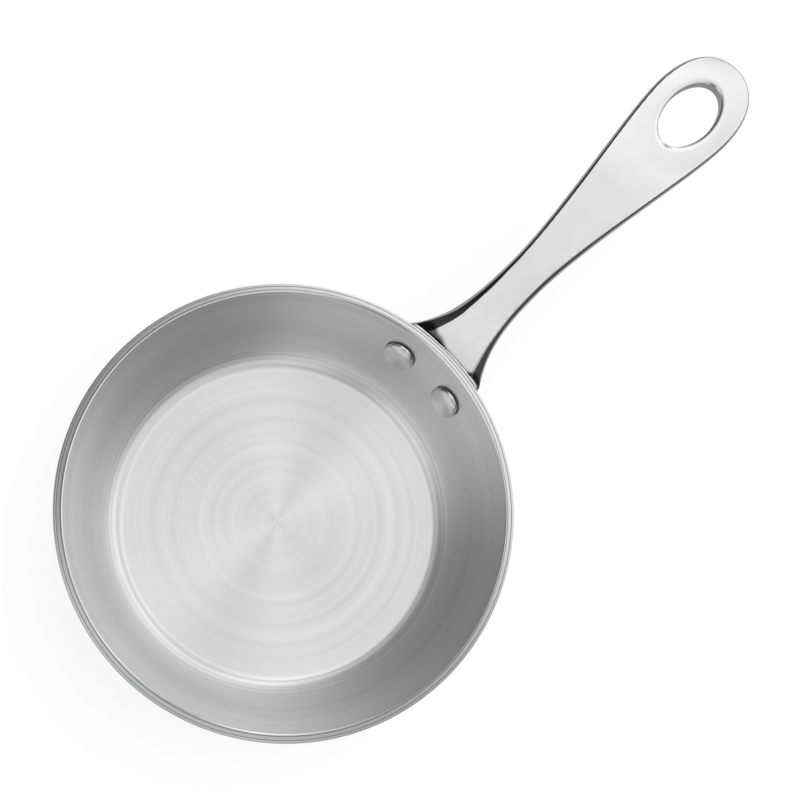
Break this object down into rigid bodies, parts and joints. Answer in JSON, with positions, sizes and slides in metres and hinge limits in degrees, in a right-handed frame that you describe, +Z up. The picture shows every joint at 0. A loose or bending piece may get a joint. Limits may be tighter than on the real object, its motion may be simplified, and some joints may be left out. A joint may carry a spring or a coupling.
{
  "type": "omelette pan",
  "caption": "Small round omelette pan with sloping walls of clad steel, and a cast steel handle with a fanned root, narrow neck and oval hang hole, riveted to the wall.",
  "frame": {"origin": "centre of the pan's flat underside", "axes": "+Z up out of the pan, +X along the handle, from the pan to the tip"},
  "size_m": [0.2263, 0.1198, 0.0459],
  "materials": {
    "cooking_steel": "brushed in circles, satin",
    "aluminium_core": "cut edge, satin",
    "outer_steel": "satin",
    "cast_steel": "cast and mirror polished",
    "rivet_steel": "polished"
  },
  "bodies": {
    "root": {"inner_ply": "cooking_steel", "core": "aluminium_core", "outer_ply": "outer_steel", "handle": "cast_steel", "rivet_left": "rivet_steel", "rivet_right": "rivet_steel"}
  },
  "joints": []
}
